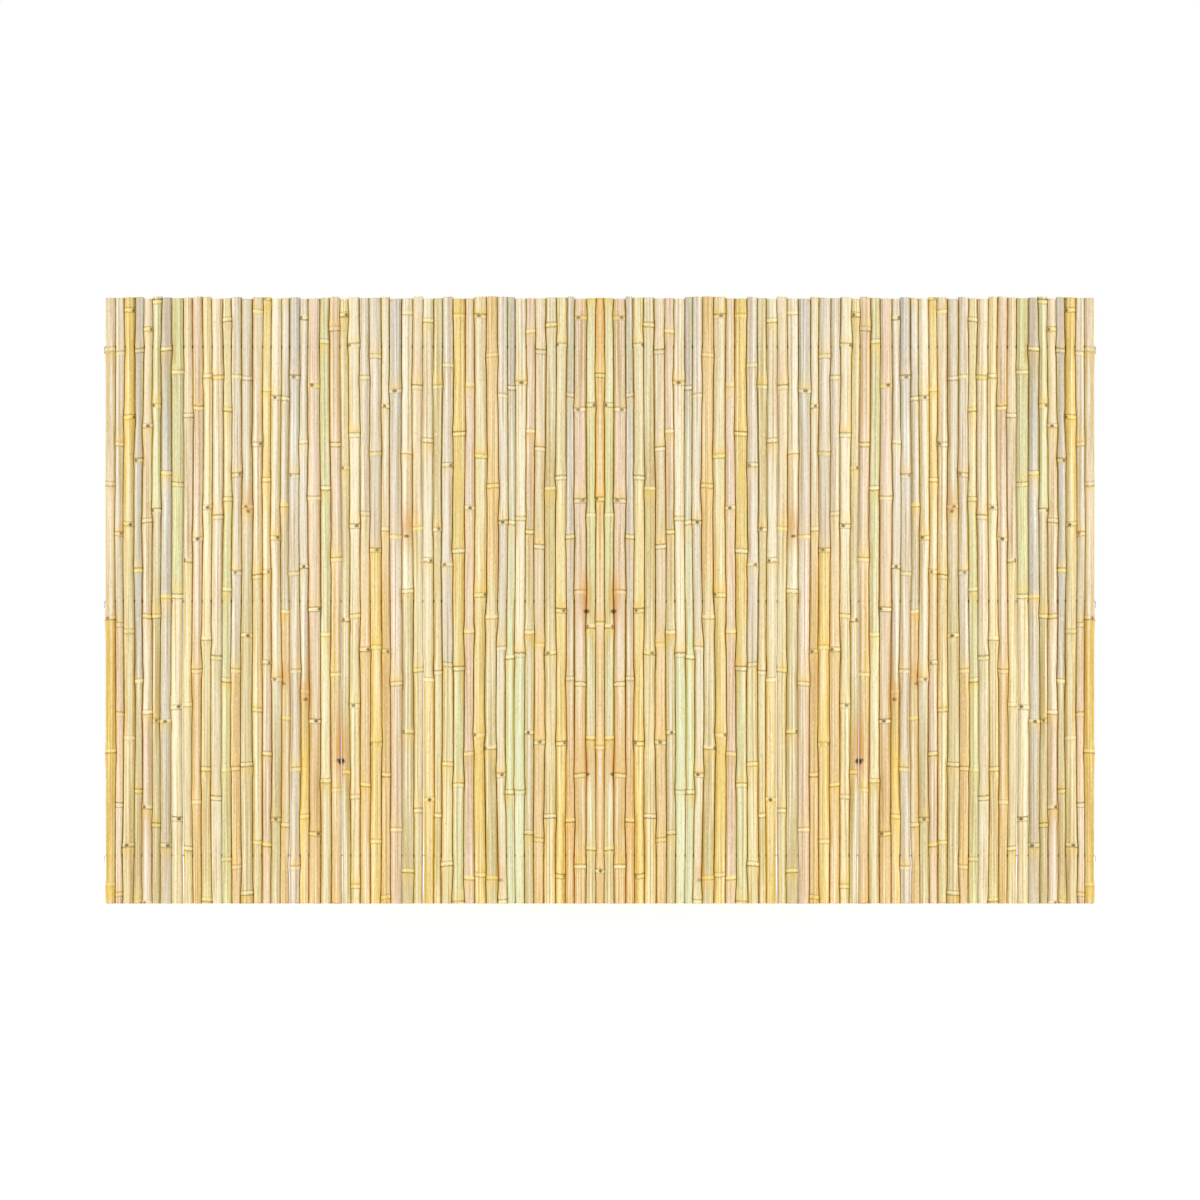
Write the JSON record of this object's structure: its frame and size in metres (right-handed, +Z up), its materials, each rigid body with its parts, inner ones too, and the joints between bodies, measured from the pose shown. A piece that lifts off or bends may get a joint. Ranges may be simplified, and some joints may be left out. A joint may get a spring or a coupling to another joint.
{
  "type": "rolled bamboo fence",
  "caption": "Roll-out garden fence of whole bamboo canes set side by side on galvanised wires that run through drilled holes; ties to posts or an old fence as a screen.",
  "frame": {"origin": "middle of the fence's foot, level with the cut ends of the canes", "axes": "+X along the fence, +Y from its front to its back, +Z up along the canes"},
  "size_m": [2.4386, 0.0308, 1.492],
  "materials": {
    "bamboo": "natural, smooth skin",
    "galvanised_wire": "dull zinc"
  },
  "bodies": {
    "root": {"cane_pair_01": "bamboo", "cane_pair_02": "bamboo", "cane_pair_03": "bamboo", "cane_pair_04": "bamboo", "cane_pair_05": "bamboo", "cane_pair_06": "bamboo", "cane_pair_07": "bamboo", "cane_pair_08": "bamboo", "cane_pair_09": "bamboo", "cane_pair_10": "bamboo", "cane_pair_11": "bamboo", "cane_pair_12": "bamboo", "cane_pair_13": "bamboo", "cane_pair_14": "bamboo", "cane_pair_15": "bamboo", "cane_pair_16": "bamboo", "cane_pair_17": "bamboo", "cane_pair_18": "bamboo", "cane_pair_19": "bamboo", "cane_pair_20": "bamboo", "cane_pair_21": "bamboo", "cane_pair_22": "bamboo", "cane_pair_23": "bamboo", "cane_pair_24": "bamboo", "cane_pair_25": "bamboo", "cane_pair_26": "bamboo", "cane_pair_27": "bamboo", "cane_pair_28": "bamboo", "cane_pair_29": "bamboo", "cane_pair_30": "bamboo", "cane_pair_31": "bamboo", "cane_pair_32": "bamboo", "cane_pair_33": "bamboo", "cane_pair_34": "bamboo", "cane_pair_35": "bamboo", "cane_pair_36": "bamboo", "cane_pair_37": "bamboo", "cane_pair_38": "bamboo", "cane_pair_39": "bamboo", "cane_pair_40": "bamboo", "cane_pair_41": "bamboo", "cane_pair_42": "bamboo", "cane_pair_43": "bamboo", "cane_pair_44": "bamboo", "cane_pair_45": "bamboo", "cane_pair_46": "bamboo", "cane_pair_47": "bamboo", "cane_pair_48": "bamboo", "cane_pair_49": "bamboo", "centre_cane": "bamboo", "wire_bottom": "galvanised_wire", "wire_middle": "galvanised_wire", "wire_top": "galvanised_wire"}
  },
  "joints": []
}
